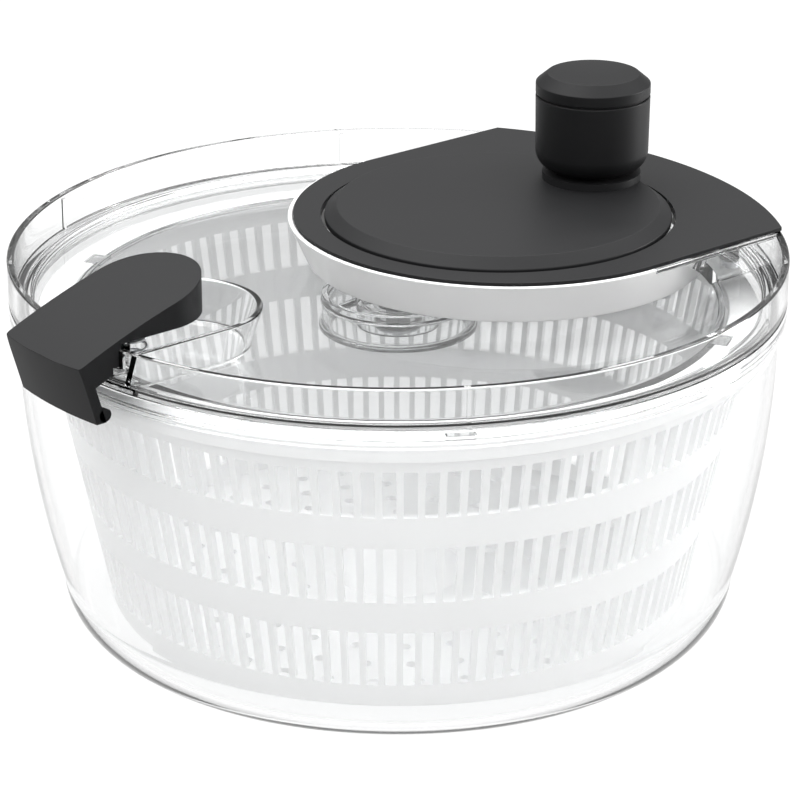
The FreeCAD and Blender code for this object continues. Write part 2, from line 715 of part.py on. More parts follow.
save("bowl", make_bowl())
save("pivot_pin", make_pivot_pin())
save("basket", make_basket())
save("basket_bush", make_basket_bush())
save("lid_shell", make_lid())
save("crank_cover", make_cover())
save("cover_screws", make_cover_screws())
save("crank_bush", flanged_bush(crank_shaft_r, crank_x))
save("shaft_bush", flanged_bush(drive_shaft_r, 0.0))
save("crank_disc", make_crank_disc())
save("drive_gear", make_drive_gear())
save("gear_screws", make_gear_screws())
save("crank_washer", make_washer(crank_shaft_r + 3.5, lid_boss_z - 0.2 - washer_t, crank_x))
save("crank_screw", screw_up(crank_x, 0.0, lid_boss_z - 0.2 - washer_t, 10))
save("knob_post", make_knob_post())
save("knob_body", make_knob_body())
save("knob_cap", make_knob_cap())
save("knob_washer", make_washer(knob_post_r + 3, post_top, knob_x))
save("knob_screw", screw_down(knob_x, post_top + washer_t, 8))
save("pinion", make_pinion())
save("drive_shaft", make_drive_shaft())
save("drive_plate", make_drive_plate())
save("hub_washer", make_washer(plate_boss_r - 1, shaft_low - washer_t))
save("hub_screw", screw_up(0.0, 0.0, shaft_low - washer_t, 10))
save("latch", make_latch())
save("latch_pin", make_latch_pin())
save("latch_spring", make_latch_spring())
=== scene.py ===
import math
import bmesh
import bpy
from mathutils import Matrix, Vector


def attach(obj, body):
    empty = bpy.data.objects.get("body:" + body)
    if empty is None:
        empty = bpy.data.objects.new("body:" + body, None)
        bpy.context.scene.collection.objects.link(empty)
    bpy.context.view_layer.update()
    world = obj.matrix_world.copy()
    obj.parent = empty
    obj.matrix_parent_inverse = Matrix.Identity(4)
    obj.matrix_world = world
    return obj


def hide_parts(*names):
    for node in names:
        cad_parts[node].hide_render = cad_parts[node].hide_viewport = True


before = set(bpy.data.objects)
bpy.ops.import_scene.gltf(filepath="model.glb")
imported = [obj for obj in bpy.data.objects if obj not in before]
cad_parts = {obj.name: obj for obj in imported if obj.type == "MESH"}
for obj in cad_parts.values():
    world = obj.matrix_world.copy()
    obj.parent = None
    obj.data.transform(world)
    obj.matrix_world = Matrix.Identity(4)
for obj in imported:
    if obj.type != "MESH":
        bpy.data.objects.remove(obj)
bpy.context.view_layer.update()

# ---- Bowl ----------------------------------------------------------------------------------
# A clear moulded bowl with a rounded foot, flared sides and a lip round its rim. It stands on
# its flat bottom, and a short steel pin in the middle of the floor carries the basket.

MM = 0.001
ROUND = 256              # flats in a full turn of a large clear piece


class Shade:
    """One output of a shader node, which can be written in sums and products."""

    def __init__(self, tree, out=None):
        self.tree, self.out = tree, out

    def node(self, kind, settings=None, inputs=None, out=0):
        """Adds a node: its settings first, then its sockets' values or links."""
        made = self.tree.nodes.new(kind)
        for name, value in (settings or {}).items():
            setattr(made, name, value)
        for name, value in (inputs or {}).items():
            if isinstance(value, Shade):
                self.tree.links.new(value.out, made.inputs[name])
            else:
                made.inputs[name].default_value = value
        return Shade(self.tree, made.outputs[out])

    def maths(self, operation, a, b):
        return self.node("ShaderNodeMath", {"operation": operation}, {0: a, 1: b})

    def __add__(self, other):
        return self.maths("ADD", self, other)

    def __radd__(self, other):
        return self.maths("ADD", other, self)

    def __sub__(self, other):
        return self.maths("SUBTRACT", self, other)

    def __rsub__(self, other):
        return self.maths("SUBTRACT", other, self)

    def __mul__(self, other):
        return self.maths("MULTIPLY", self, other)

    def __rmul__(self, other):
        return self.maths("MULTIPLY", other, self)

    def tint(self, low, high):
        """Runs from one colour to another as this value goes from 0 to 1."""
        return self.node("ShaderNodeMix", {"data_type": "RGBA"}, {0: self, 6: low, 7: high}, 2)


def material(name):
    """A new material: its shading start, its position in metres and its Principled node."""
    made = bpy.data.materials.new(name)
    made.use_nodes = True
    tree = made.node_tree
    surface = next(n for n in tree.nodes if n.type == "BSDF_PRINCIPLED")
    start = Shade(tree)
    place = start.node("ShaderNodeTexCoord", out=3)
    return made, start, place, surface


def set_surface(surface, **values):
    """Sets the Principled node's sockets: links where a value changes over the surface."""
    for name, value in values.items():
        socket = surface.inputs[name.replace("_", " ")]
        if isinstance(value, Shade):
            value.tree.links.new(value.out, socket)
        else:
            socket.default_value = value


def grain(start, place, scale, detail):
    """Fine noise of one size, in cycles per metre, from 0 to 1."""
    inputs = {"Vector": place, "Scale": scale, "Detail": detail}
    return start.node("ShaderNodeTexNoise", None, inputs)


def shaded(tone, share):
    """A colour made darker or lighter by a share."""
    return tuple(min(1.0, part * share) for part in tone[:3]) + (1.0,)


def bump(start, height, depth, strength=1.0):
    """A surface normal from a height pattern, depth in metres."""
    inputs = {"Height": height, "Distance": depth, "Strength": strength}
    return start.node("ShaderNodeBump", None, inputs)


# Painted edge shade: clear plastic is painted this grey where it is seen nearly edge on, in place of
# the darker surroundings it would reflect.
PAINTED_EDGE_SHADE = (0.42, 0.43, 0.44, 1.0)      # clear plastic seen nearly edge on
POLISHED = (0.988, 0.992, 0.993, 1.0)    # clear plastic seen square on


def clear_plastic(name, tone, haze):
    """Polished clear plastic: slow mould ripples, a little haze that drifts over it, and painted
    shade where it is seen edge on.
    """
    made, start, place, surface = material(name)
    flow = grain(start, place, 35.0, 1.0)
    # How nearly edge on the surface is seen; this sets where the painted edge shade falls.
    edge = start.node("ShaderNodeLayerWeight", None, {"Blend": 0.5}, 1)
    for _ in range(3):
        edge = edge * edge
    body = flow.tint(tone, tuple(min(1.0, part + 0.007) for part in tone[:3]) + (1.0,))
    set_surface(
        surface,
        Base_Color=edge.tint(body, PAINTED_EDGE_SHADE),
        Roughness=flow * haze,
        IOR=1.49,
        Transmission_Weight=1.0,
        Normal=bump(start, flow, 0.00006, 0.35),
    )
    return made


def steel(name):
    """Bright steel with fine, uneven marks."""
    tone = (0.62, 0.63, 0.65, 1.0)
    made, start, place, surface = material(name)
    marks = grain(start, place, 1500.0, 3.0)
    set_surface(
        surface,
        Base_Color=marks.tint(shaded(tone, 0.8), tone),
        Metallic=1.0,
        Roughness=0.22 + marks * 0.2,
        Normal=bump(start, marks, 0.00002),
    )
    return made


def arc_points(a, b, bulge, steps=24):
    """Points from a to b on an arc that stands out from the chord; b itself is left out."""
    (ax, az), (bx, bz) = a, b
    chord = math.hypot(bx - ax, bz - az)
    radius = (chord * chord / 4 + bulge * bulge) / (2 * bulge)
    nx, nz = (bz - az) / chord, -(bx - ax) / chord
    cx, cz = (ax + bx) / 2 + nx * (bulge - radius), (az + bz) / 2 + nz * (bulge - radius)
    start = math.atan2(az - cz, ax - cx)
    sweep = math.atan2(bz - cz, bx - cx) - start
    sweep = (sweep + math.pi) % (2 * math.pi) - math.pi
    turns = [start + sweep * k / steps for k in range(steps)]
    size = abs(radius)
    return [(cx + size * math.cos(turn), cz + size * math.sin(turn)) for turn in turns]


def eased(points, radius, steps=4):
    """Rounds the corners of a closed outline that are sharper than 160 degrees."""
    out = []
    count = len(points)
    for index, here in enumerate(points):
        before, after = points[index - 1], points[(index + 1) % count]
        here, before, after = Vector(here), Vector(before), Vector(after)
        to_a, to_b = before - here, after - here
        angle = to_a.angle(to_b)
        if here.x < 1e-6 or angle > math.radians(160):
            out.append(tuple(here))
            continue
        cut = min(radius / math.tan(angle / 2), 0.45 * to_a.length, 0.45 * to_b.length)
        a, b = here + to_a.normalized() * cut, here + to_b.normalized() * cut
        for k in range(steps + 1):
            t = k / steps
            out.append(tuple((1 - t) ** 2 * a + 2 * t * (1 - t) * here + t * t * b))
    return out


def new_object(name, mesh, sharp=38):
    """Puts a mesh in the scene, smooth but for edges sharper than the given angle."""
    mesh.shade_smooth()
    mesh.set_sharp_from_angle(angle=math.radians(sharp))
    made = bpy.data.objects.new(name, mesh)
    bpy.context.scene.collection.objects.link(made)
    return made


def to_mesh(name, verts, faces):
    """A mesh in metres from millimetre points, with its faces turned outwards."""
    mesh = bpy.data.meshes.new(name)
    mesh.from_pydata([(x * MM, y * MM, z * MM) for x, y, z in verts], [], faces)
    shape = bmesh.new()
    shape.from_mesh(mesh)
    bmesh.ops.remove_doubles(shape, verts=shape.verts, dist=1e-7)
    bmesh.ops.recalc_face_normals(shape, faces=shape.faces)
    shape.to_mesh(mesh)
    shape.free()
    return mesh


def lathe_mesh(name, outline, flats=ROUND, x=0.0, y=0.0):
    """Turns a closed outline of (radius, height) points in millimetres about an upright axis."""
    verts, faces, rings = [], [], []
    for radius, z in outline:
        if radius < 1e-6:
            rings.append([len(verts)] * flats)
            verts.append((x, y, z))
            continue
        rings.append(list(range(len(verts), len(verts) + flats)))
        for k in range(flats):
            turn = 2 * math.pi * k / flats
            verts.append((x + radius * math.cos(turn), y + radius * math.sin(turn), z))
    for a, b in zip(rings, rings[1:] + rings[:1]):
        for k in range(flats):
            face = []
            for index in (a[k], a[(k + 1) % flats], b[(k + 1) % flats], b[k]):
                if index not in face:
                    face.append(index)
            if len(face) > 2:
                faces.append(face)
    return to_mesh(name, verts, faces)


def combine(first, second, operation):
    """Adds, cuts or intersects two objects; the first keeps the result and the second goes."""
    step = first.modifiers.new("combine", "BOOLEAN")
    step.operation, step.object, step.solver = operation, second, "EXACT"
    bpy.context.view_layer.update()
    solved = first.evaluated_get(bpy.context.evaluated_depsgraph_get())
    result = bpy.data.meshes.new_from_object(solved)
    first.modifiers.remove(step)
    old, first.data = first.data, result
    bpy.data.meshes.remove(old)
    bpy.data.objects.remove(second)
    return first


def tidy(piece, sharp=38):
    """Smooths the shading of a combined piece again."""
    piece.data.shade_smooth()
    piece.data.set_sharp_from_angle(angle=math.radians(sharp))


def even_shading(piece):
    """Lets the large faces of a piece keep their own direction where small ones meet them."""
    step = piece.modifiers.new("even_shading", "WEIGHTED_NORMAL")
    step.mode, step.weight, step.keep_sharp = "FACE_AREA", 60, True


def fit(piece, body, slot, finish, *replaced):
    """Gives a piece its material, its body and the nodes that it stands for; the slot is not used.
    """
    even_shading(piece)
    piece.data.materials.clear()
    piece.data.materials.append(finish)
    if replaced:
        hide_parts(*replaced)
    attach(piece, body)


bowl_clear = clear_plastic("bowl_clear", POLISHED, 0.02)
small_steel = steel("small_steel")

# Outlines of turned pieces are (radius, height) points in millimetres, all through this file.
lid_r = 125.0
bowl_top, lip_z = 111.7, 106.5
corner, belly = 4.2, 3.2      # how far the foot's and the side's arcs stand out
foot, side, top = (96.5, 0.0), (111.0, 17.0), (122.6, lip_z)
foot_in, side_in, top_in = (95.25, 3.0), (108.5, 18.25), (120.1, lip_z)
outside = [(0.0, 0.0)] + arc_points(foot, side, corner) + arc_points(side, top, belly)
rim = eased([top, (lid_r, lip_z), (lid_r, bowl_top), (120.1, bowl_top), top_in], 0.5)[1:-1]
inside = arc_points(top_in, side_in, -belly) + arc_points(side_in, foot_in, -corner) + [foot_in]
boss = [(8.0, 3.0), (8.0, 7.0), (7.5, 7.5), (3.0, 7.5), (3.0, 3.1), (0.0, 3.1)]
bowl = new_object("bowl_shell", lathe_mesh("bowl_shell", outside + rim + inside + boss))
fit(bowl, "bowl", "clear_plastic", bowl_clear, "bowl")


def finish_nodes(finish, *names):
    """Gives CAD pieces that are shown as they are their detailed material."""
    for name in names:
        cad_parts[name].data.materials.clear()
        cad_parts[name].data.materials.append(finish)


finish_nodes(small_steel, "pivot_pin")


# ---- Basket --------------------------------------------------------------------------------
# A white moulded basket with three rows of upright slots, a flat rim with six notches for the
# drive plate, drain holes in its floor, and a raised hub that turns on the bowl's pin.

def white_plastic(name, tone):
    """Satin white moulded plastic with a fine skin, a trace of translucence and a faint painted
    glow.
    """
    made, start, place, surface = material(name)
    skin = grain(start, place, 2600.0, 2.0)
    cloud = grain(start, place, 45.0, 2.0)
    set_surface(
        surface,
        Base_Color=cloud.tint(shaded(tone, 0.965), tone),
        Roughness=0.36 + skin * 0.14,
        Subsurface_Weight=0.12,
        Subsurface_Radius=(0.004, 0.004, 0.004),
        Subsurface_Scale=0.6,
        # Painted light: a faint glow of the plastic's own colour lightens it where it lies in shade.
        Emission_Color=tone,
        Emission_Strength=0.1,
        Normal=bump(start, skin, 0.00003, 0.5),
    )
    return made


basket_white = white_plastic("basket_white", (0.95, 0.953, 0.955, 1.0))
pale_moulded = white_plastic("pale_moulded", (0.84, 0.845, 0.83, 1.0))

SLOTS = 110              # in each row
OPEN = 0.66              # open share of each slot's pitch
wall = 2.2
low_r, high_r, low_z, high_z = 95.5, 114.5, 8.0, 105.0
slot_rows = ((17.0, 36.53), (47.53, 67.07), (78.07, 94.0))    # each row's lowest and highest Z


def basket_r(z):
    """Outside radius of the basket's wall at a height."""
    return low_r + (z - low_z) / (high_z - low_z) * (high_r - low_r)


def slotted_wall():
    """The wall as a grid of cells, open where there is a slot, with an inner and an outer skin."""
    heights = [10.5] + [z for row in slot_rows for z in row] + [101.0]
    open_bands = {heights.index(low) for low, high in slot_rows}
    columns = []
    for k in range(SLOTS):
        columns += [(k - OPEN / 2) / SLOTS, (k + OPEN / 2) / SLOTS]
    verts, faces = [], []
    count = len(columns)
    for z in heights:
        for skin in (0.0, wall):
            for share in columns:
                turn, radius = 2 * math.pi * share, basket_r(z) - skin
                verts.append((radius * math.cos(turn), radius * math.sin(turn), z))

    def at(row, column, skin):
        return row * 2 * count + skin * count + column % count

    rows = len(heights) - 1
    for row in range(rows):
        for column in range(count):
            a, b = (row, column), (row, column + 1)
            c, d = (row + 1, column + 1), (row + 1, column)
            if row in open_bands and column % 2 == 0:
                for p, q in ((a, d), (b, c), (a, b), (d, c)):
                    faces.append([at(*p, 0), at(*q, 0), at(*q, 1), at(*p, 1)])
            else:
                for skin in (0, 1):
                    faces.append([at(*a, skin), at(*b, skin), at(*c, skin), at(*d, skin)])
    for row in (0, rows):
        for column in range(count):
            faces.append([at(row, column, 0), at(row, column + 1, 0),
                          at(row, column + 1, 1), at(row, column, 1)])
    return to_mesh("basket_wall", verts, faces)


def block_object(name, low, high):
    """A plain block between two corners in millimetres, used to add or cut."""
    corners = [(x, y, z) for x in (low[0], high[0])
               for y in (low[1], high[1]) for z in (low[2], high[2])]
    sides = [(0, 1, 3, 2), (4, 6, 7, 5), (0, 4, 5, 1), (2, 3, 7, 6), (0, 2, 6, 4), (1, 5, 7, 3)]
    return new_object(name, to_mesh(name, corners, sides))


LUGS = 6                 # lugs of the drive plate, and notches for them
basket = new_object("basket_wall", slotted_wall(), 30)
rim_line = eased([
    (basket_r(99.0) - 0.3, 99.0), (116.1, 99.0), (116.1, high_z), (106.5, high_z), (106.5, 102.6),
    (basket_r(102.6) - wall, 102.6), (basket_r(99.0) - wall, 99.5),
], 0.5)
basket_rim = new_object("basket_rim", lathe_mesh("basket_rim", rim_line))
for k in range(LUGS):
    notch = block_object("notch", (105.7, -4.6, 101.0), (110.3, 4.6, 107.0))
    notch.rotation_euler = (0, 0, 2 * math.pi * k / LUGS)
    combine(basket_rim, notch, "DIFFERENCE")
tidy(basket_rim)

floor_line = [
    (10.0, 8.0), (low_r - 2.5, 8.0), (basket_r(8.8) - 0.8, 8.7), (basket_r(10.6), 10.6),
    (basket_r(11.2), 11.2), (basket_r(11.2) - wall, 11.2), (basket_r(10.2) - wall - 1.4, 10.2),
    (22.0, 10.2), (12.6, 21.6), (11.6, 22.5), (0.0, 22.5), (0.0, 20.5), (10.0, 20.5),
]
basket_floor = new_object("basket_floor", lathe_mesh("basket_floor", floor_line))
hole_r, flats = 2.0, 14
drill_verts, drill_faces = [], []
for ring_r, count in ((34.0, 12), (46.0, 18), (58.0, 24), (70.0, 30), (82.0, 36)):
    for index in range(count):
        turn = 2 * math.pi * (index + 0.5) / count
        base = len(drill_verts)
        for z in (7.0, 11.5):
            for k in range(flats):
                spin = 2 * math.pi * k / flats
                drill_verts.append((ring_r * math.cos(turn) + hole_r * math.cos(spin),
                                    ring_r * math.sin(turn) + hole_r * math.sin(spin), z))
        drill_faces.append([base + k for k in range(flats)])
        drill_faces.append([base + flats + k for k in range(flats)])
        for k in range(flats):
            n = (k + 1) % flats
            drill_faces.append([base + k, base + n, base + flats + n, base + flats + k])
drills = new_object("drills", to_mesh("drills", drill_verts, drill_faces))
combine(basket_floor, drills, "DIFFERENCE")
tidy(basket_floor)

fit(basket, "basket", "white_plastic", basket_white, "basket")
fit(basket_rim, "basket", "white_plastic", basket_white)
fit(basket_floor, "basket", "white_plastic", basket_white)
finish_nodes(pale_moulded, "basket_bush")


# ---- Lid -----------------------------------------------------------------------------------
# A clear tray with an upright rim, a ring beneath that drops inside the bowl, a wall that holds
# the crank's cover, and a smaller pocket under the latch. That wall is round and satin towards
# the middle, and runs straight and clear out to the rim.

lid_clear = clear_plastic("lid_clear", POLISHED, 0.02)
satin_clear, start, place, surface = material("satin_clear")
set_surface(
    surface,
    Base_Color=grain(start, place, 40.0, 1.0).tint((0.9, 0.9, 0.9, 1.0), (0.96, 0.96, 0.96, 1.0)),
    Roughness=0.22,
    IOR=1.49,
    Transmission_Weight=0.42,
)

crank_x, cover_x = 42.5, 46.0     # upright axes of the crank and of its cover's round end
pin_x, pin_z = -117.0, 121.5      # the latch pin's axis, which lies along Y
tray_top, clear_above = 112.0, 130.0

tray_line = eased([
    (0.0, 109.8), (117.2, 109.8), (117.2, 106.5), (119.4, 106.5), (119.4, tray_top),
    (lid_r, tray_top), (lid_r, 125.0), (122.6, 125.0), (122.6, 113.2), (117.5, 113.2),
    (117.5, tray_top), (0.0, tray_top),
], 0.7)
lid = new_object("lid_shell_clear", lathe_mesh("lid_shell_clear", tray_line))


def turn_points(x, y, radius, first, last, steps):
    """Points on a circle from one turn in degrees to another, both ends included."""
    turns = [math.radians(first + (last - first) * k / steps) for k in range(steps + 1)]
    return [(x + radius * math.cos(turn), y + radius * math.sin(turn)) for turn in turns]


def u_sweep(name, section, x, direction):
    """Sweeps a closed section of (radius, height) points round a half circle and straight on."""
    flats, near, far = 96, direction * 12.0, direction * 80.0
    stations = [(0.0, 1.0, far), (0.0, 1.0, near)]
    for k in range(flats + 1):
        turn = math.pi / 2 + math.pi * k / flats
        stations.append((direction * math.cos(turn), math.sin(turn), 0.0))
    stations += [(0.0, -1.0, near), (0.0, -1.0, far)]
    verts = []
    for nx, ny, along in stations:
        for radius, z in section:
            verts.append((x + along + nx * radius, ny * radius, z))
    size, last = len(section), len(stations) - 1
    faces = [list(range(size)), [last * size + k for k in range(size)]]
    for step in range(last):
        for k in range(size):
            n, here, after = (k + 1) % size, step * size, (step + 1) * size
            faces.append([here + k, here + n, after + n, after + k])
    return new_object(name, to_mesh(name, verts, faces))


def cylinder(name, radius, low, high, x=0.0, flats=ROUND):
    """A plain upright cylinder, in millimetres, used to add or cut."""
    outline = [(0.0, low), (radius, low), (radius, high), (0.0, high)]
    return new_object(name, lathe_mesh(name, outline, flats, x))


def pulled(name, near, far):
    """A solid between two copies of a closed outline."""
    count = len(near)
    faces = [list(range(count)), [count + k for k in range(count)]]
    faces += [[k, (k + 1) % count, count + (k + 1) % count, count + k] for k in range(count)]
    return new_object(name, to_mesh(name, near + far, faces))


def side_profile(name, points, low, high):
    """A solid from an outline of (x, z) points, between two values of y."""
    return pulled(name, [(x, low, z) for x, z in points], [(x, high, z) for x, z in points])


house_section = eased([(63.0, 112.05), (66.0, 112.05), (72.0, 125.6), (70.3, 125.6),
                       (70.3, 124.0), (69.0, 124.0)], 0.5, 3)
pocket_section = eased([(20.0, 111.95), (22.0, 111.95), (26.0, 124.7), (24.0, 124.7)], 0.6, 3)
house_round = new_object("house_round", lathe_mesh("house_round", house_section, ROUND, cover_x))
under_cover = block_object("under_cover", (cover_x, -80.0, 123.9), (130.0, 80.0, clear_above))
combine(house_round, under_cover, "DIFFERENCE")
tidy(house_round, 32)
fit(house_round, "lid", "clear_plastic", satin_clear)
house_sides = u_sweep("house_sides", house_section, cover_x, 1)
sides_only = block_object("sides_only", (46.2, -80.0, 100.0), (130.0, 80.0, clear_above))
combine(house_sides, sides_only, "INTERSECT")
combine(house_sides, cylinder("trim", 122.55, 100.0, clear_above), "INTERSECT")
combine(house_sides, cylinder("clear_of_round", 72.3, 100.0, 124.0, cover_x), "DIFFERENCE")
tidy(house_sides, 32)
fit(house_sides, "lid", "clear_plastic", lid_clear)
pocket_wall = u_sweep("pocket_wall", pocket_section, -87.0, -1)
combine(pocket_wall, cylinder("trim", 123.6, 100.0, clear_above), "INTERSECT")
combine(lid, pocket_wall, "UNION")
for radius, x in ((12.05, crank_x), (10.05, 0.0)):
    combine(lid, cylinder("boss", radius, 109.2, 111.0, x, 96), "UNION")
    combine(lid, cylinder("boss_hole", radius - 3.0, 105.0, 114.0, x, 96), "DIFFERENCE")
latch_notch = block_object("latch_notch", (-130.0, -20.2, 119.0), (-121.0, 20.2, clear_above))
combine(lid, latch_notch, "DIFFERENCE")
for turn in (60.0, 117.0, 240.0, 297.0):
    rib = block_object("rib", (121.7, -0.7, 111.9), (123.6, 0.7, 124.0))
    rib.rotation_euler = (0, 0, math.radians(turn))
    combine(lid, rib, "UNION")
for side in (-1, 1):
    low, high = sorted((side * 8.2, side * 11.2))
    ear_top = side_profile("ear_top", turn_points(pin_x, pin_z, 4.0, 0, 360, 48)[:-1], low, high)
    combine(lid, block_object("ear", (pin_x - 4.0, low, 113.0), (pin_x + 4.0, high, pin_z)), "UNION")
    combine(lid, ear_top, "UNION")
tidy(lid, 32)
fit(lid, "lid", "clear_plastic", lid_clear, "lid_shell")
finish_nodes(pale_moulded, "crank_bush", "shaft_bush")
finish_nodes(small_steel, "cover_screws", "latch_pin", "latch_spring")


# ---- Crank cover ---------------------------------------------------------------------------
# A dark matt cover, round at one end and trimmed to the lid's edge at the other. It lies on
# the housing's wall and is screwed on from below, with a round hole for the crank disc.

def dark_plastic(name, tone):
    """Dark plastic with a fine spark-eroded grain, a touch paler where hands polish it."""
    made, start, place, surface = material(name)
    fine = grain(start, place, 3600.0, 2.0)
    cloud = grain(start, place, 60.0, 3.0)
    set_surface(
        surface,
        Base_Color=cloud.tint(shaded(tone, 0.9), shaded(tone, 1.1)),
        Roughness=0.42 + fine * 0.08 + cloud * 0.05,
        Specular_IOR_Level=0.12,
        Normal=bump(start, fine, 0.00003, 0.4),
    )
    return made


cover_black = dark_plastic("cover_black", (0.009, 0.0091, 0.0096, 1.0))


def prism(name, outline, low, high):
    """A solid from an outline of (x, y) points, between two heights."""
    return pulled(name, [(x, y, low) for x, y in outline], [(x, y, high) for x, y in outline])


def chamfer(piece, width, angle):
    """Rounds a piece's edges that are sharper than an angle, by a fixed width."""
    step = piece.modifiers.new("edge", "BEVEL")
    step.width, step.segments, step.limit_method = width * MM, 3, "ANGLE"
    step.angle_limit = math.radians(angle)


cover_r, cover_low = 70.0, 124.0
edge_turn = math.degrees(math.asin(cover_r / lid_r))
outline = turn_points(cover_x, 0.0, cover_r, 90, 270, 96)
outline += turn_points(0.0, 0.0, lid_r, -edge_turn, edge_turn, 48)
cover = prism("crank_cover_skin", outline, cover_low, 126.5)
combine(cover, cylinder("cover_hole", 58.2, 120.0, 130.0, crank_x, 192), "DIFFERENCE")
relief_section = [(66.5, 123.0), (75.0, 123.0), (75.0, 125.3), (67.5, 125.3)]
combine(cover, u_sweep("relief", relief_section, cover_x, 1), "DIFFERENCE")
tidy(cover, 30)
chamfer(cover, 0.45, 32)
fit(cover, "lid", "dark_plastic", cover_black, "crank_cover")
for x, y in ((62.0, 58.6), (98.0, 52.0)):
    for side in (-1, 1):
        post = new_object("cover_post", lathe_mesh("cover_post", [
            (1.5, tray_top), (3.2, tray_top), (3.2, 124.3), (1.5, 124.3)], 40, x, side * y))
        fit(post, "lid", "dark_plastic", cover_black)


# ---- Crank ---------------------------------------------------------------------------------
# A dark dished disc with a bevelled edge, turned by an upright knob near its edge. A round pad
# stands under the knob. The drive gear is screwed to three posts beneath the disc.

disc_black = dark_plastic("disc_black", (0.009, 0.0091, 0.0096, 1.0))
knob_x = 84.0
disc_line = eased([
    (0.0, 120.4), (9.0, 120.4), (9.0, 127.2), (51.0, 127.2), (53.0, 124.6), (57.0, 124.6),
    (57.0, 126.9), (53.0, 130.0), (0.0, 130.0),
], 0.7)
disc = new_object("crank_disc_skin", lathe_mesh("crank_disc_skin", disc_line, 192, crank_x))
pad = cylinder("pad", 16.5, 128.5, 132.5, knob_x, 96)
combine(pad, cylinder("pad_trim", 56.4, 120.0, 140.0, crank_x, 192), "INTERSECT")
combine(disc, pad, "UNION")
tidy(disc, 25)
chamfer(disc, 0.5, 40)
fit(disc, "crank", "dark_plastic", disc_black, "crank_disc")
shaft = new_object("crank_shaft", lathe_mesh("crank_shaft", [
    (0.0, 109.0), (5.6, 109.0), (6.0, 109.4), (6.0, 121.0), (0.0, 121.0)], 64, crank_x))
fit(shaft, "crank", "dark_plastic", disc_black)
for k in range(3):
    turn = math.radians(60 + 120 * k)
    post = new_object("gear_post", lathe_mesh("gear_post", [
        (1.5, 120.4), (4.0, 120.4), (4.0, 127.4), (1.5, 127.4)], 40,
        crank_x + 22.0 * math.cos(turn), 22.0 * math.sin(turn)))
    fit(post, "crank", "dark_plastic", disc_black)
finish_nodes(pale_moulded, "drive_gear")
finish_nodes(small_steel, "gear_screws", "crank_washer", "crank_screw", "knob_post",
             "knob_washer", "knob_screw")


# ---- Knob ----------------------------------------------------------------------------------
# A dark hand knob that turns freely on a steel post, with a shadow gap under a chamfered cap
# whose top is slightly dished.

knob_black = dark_plastic("knob_black", (0.006, 0.0061, 0.0065, 1.0))
knob_low, knob_top, cap_low = 133.4, 159.0, 159.6
knob_upper = eased([
    (19.0, 150.0), (19.1, knob_top), (12.0, knob_top), (12.0, 151.7), (4.2, 151.7)], 0.5)[5:]
knob_line = [(4.2, knob_low)] + arc_points((13.2, knob_low), (18.9, 140.8), 1.75, 16)
knob_line += [(18.9, 140.8)] + knob_upper
knob = new_object("knob_body_skin", lathe_mesh("knob_body_skin", knob_line, 128, knob_x))
fit(knob, "knob", "dark_plastic", knob_black, "knob_body")
cap_line = [(0.0, 160.0), (10.0, 160.0), (10.0, 156.5), (12.0, 156.5), (12.0, knob_top),
            (18.3, knob_top), (18.3, cap_low)]
cap_line += eased([
    (18.3, cap_low), (19.1, cap_low), (19.1, 163.1), (15.3, 166.3), (11.0, 165.7)], 0.5)[5:-5]
dish_r, dish_depth = 15.0, 1.1
cap_line += [(dish_r * out, 166.2 - dish_depth * (1 - out ** 2))
             for out in (1 - k / 12 for k in range(1, 13))]
cap = new_object("knob_cap_skin", lathe_mesh("knob_cap_skin", cap_line, 128, knob_x), 30)
fit(cap, "knob", "dark_plastic", knob_black, "knob_cap")


# ---- Drive plate ---------------------------------------------------------------------------
# A clear plate under the lid with six lugs that drop into the notches of the basket's rim. A
# round cup in its middle is fixed to the drive shaft. The pinion sits on the shaft's upper end.

plate_clear = clear_plastic("plate_clear", (0.985, 0.99, 0.992, 1.0), 0.03)
plate_line = eased([
    (4.1, 95.5), (8.0, 95.5), (8.0, 103.2), (11.9, 103.2), (11.9, 95.5), (13.5, 95.5),
    (13.5, 103.2), (22.7, 103.2), (22.7, 96.1), (21.7, 96.1), (21.7, 94.5), (25.7, 94.5),
    (25.7, 96.1), (24.7, 96.1), (24.7, 103.2), (105.3, 103.2), (105.3, 106.0), (103.3, 106.0),
    (103.3, 105.0), (24.7, 105.0), (24.7, 107.5), (22.7, 107.5), (22.7, 105.0), (8.0, 105.0),
    (8.0, 108.4), (4.1, 108.4),
], 0.45, 3)
plate = new_object("drive_plate_clear", lathe_mesh("drive_plate_clear", plate_line))
for k in range(LUGS):
    lug = block_object("lug", (102.5, -4.0, 103.3), (109.7, 4.0, 104.9))
    lug.rotation_euler = (0, 0, 2 * math.pi * k / LUGS)
    combine(plate, lug, "UNION")
tidy(plate, 32)
fit(plate, "drive", "clear_plastic", plate_clear, "drive_plate")
finish_nodes(pale_moulded, "pinion")
finish_nodes(small_steel, "drive_shaft", "hub_washer", "hub_screw")


# ---- Latch ---------------------------------------------------------------------------------
# A dark lever across the lid's rim. Its flap hooks under the bowl's lip, and pressing the round
# inner end down against a small steel spring swings the flap outwards.

latch_black = dark_plastic("latch_black", (0.008, 0.0081, 0.0086, 1.0))


latch_half, round_x = 19.6, -102.2      # half the width, and the round end's centre
tip_x = round_x + latch_half
flap_low, flap_top, flap_out = 103.2, 121.4, 138.2


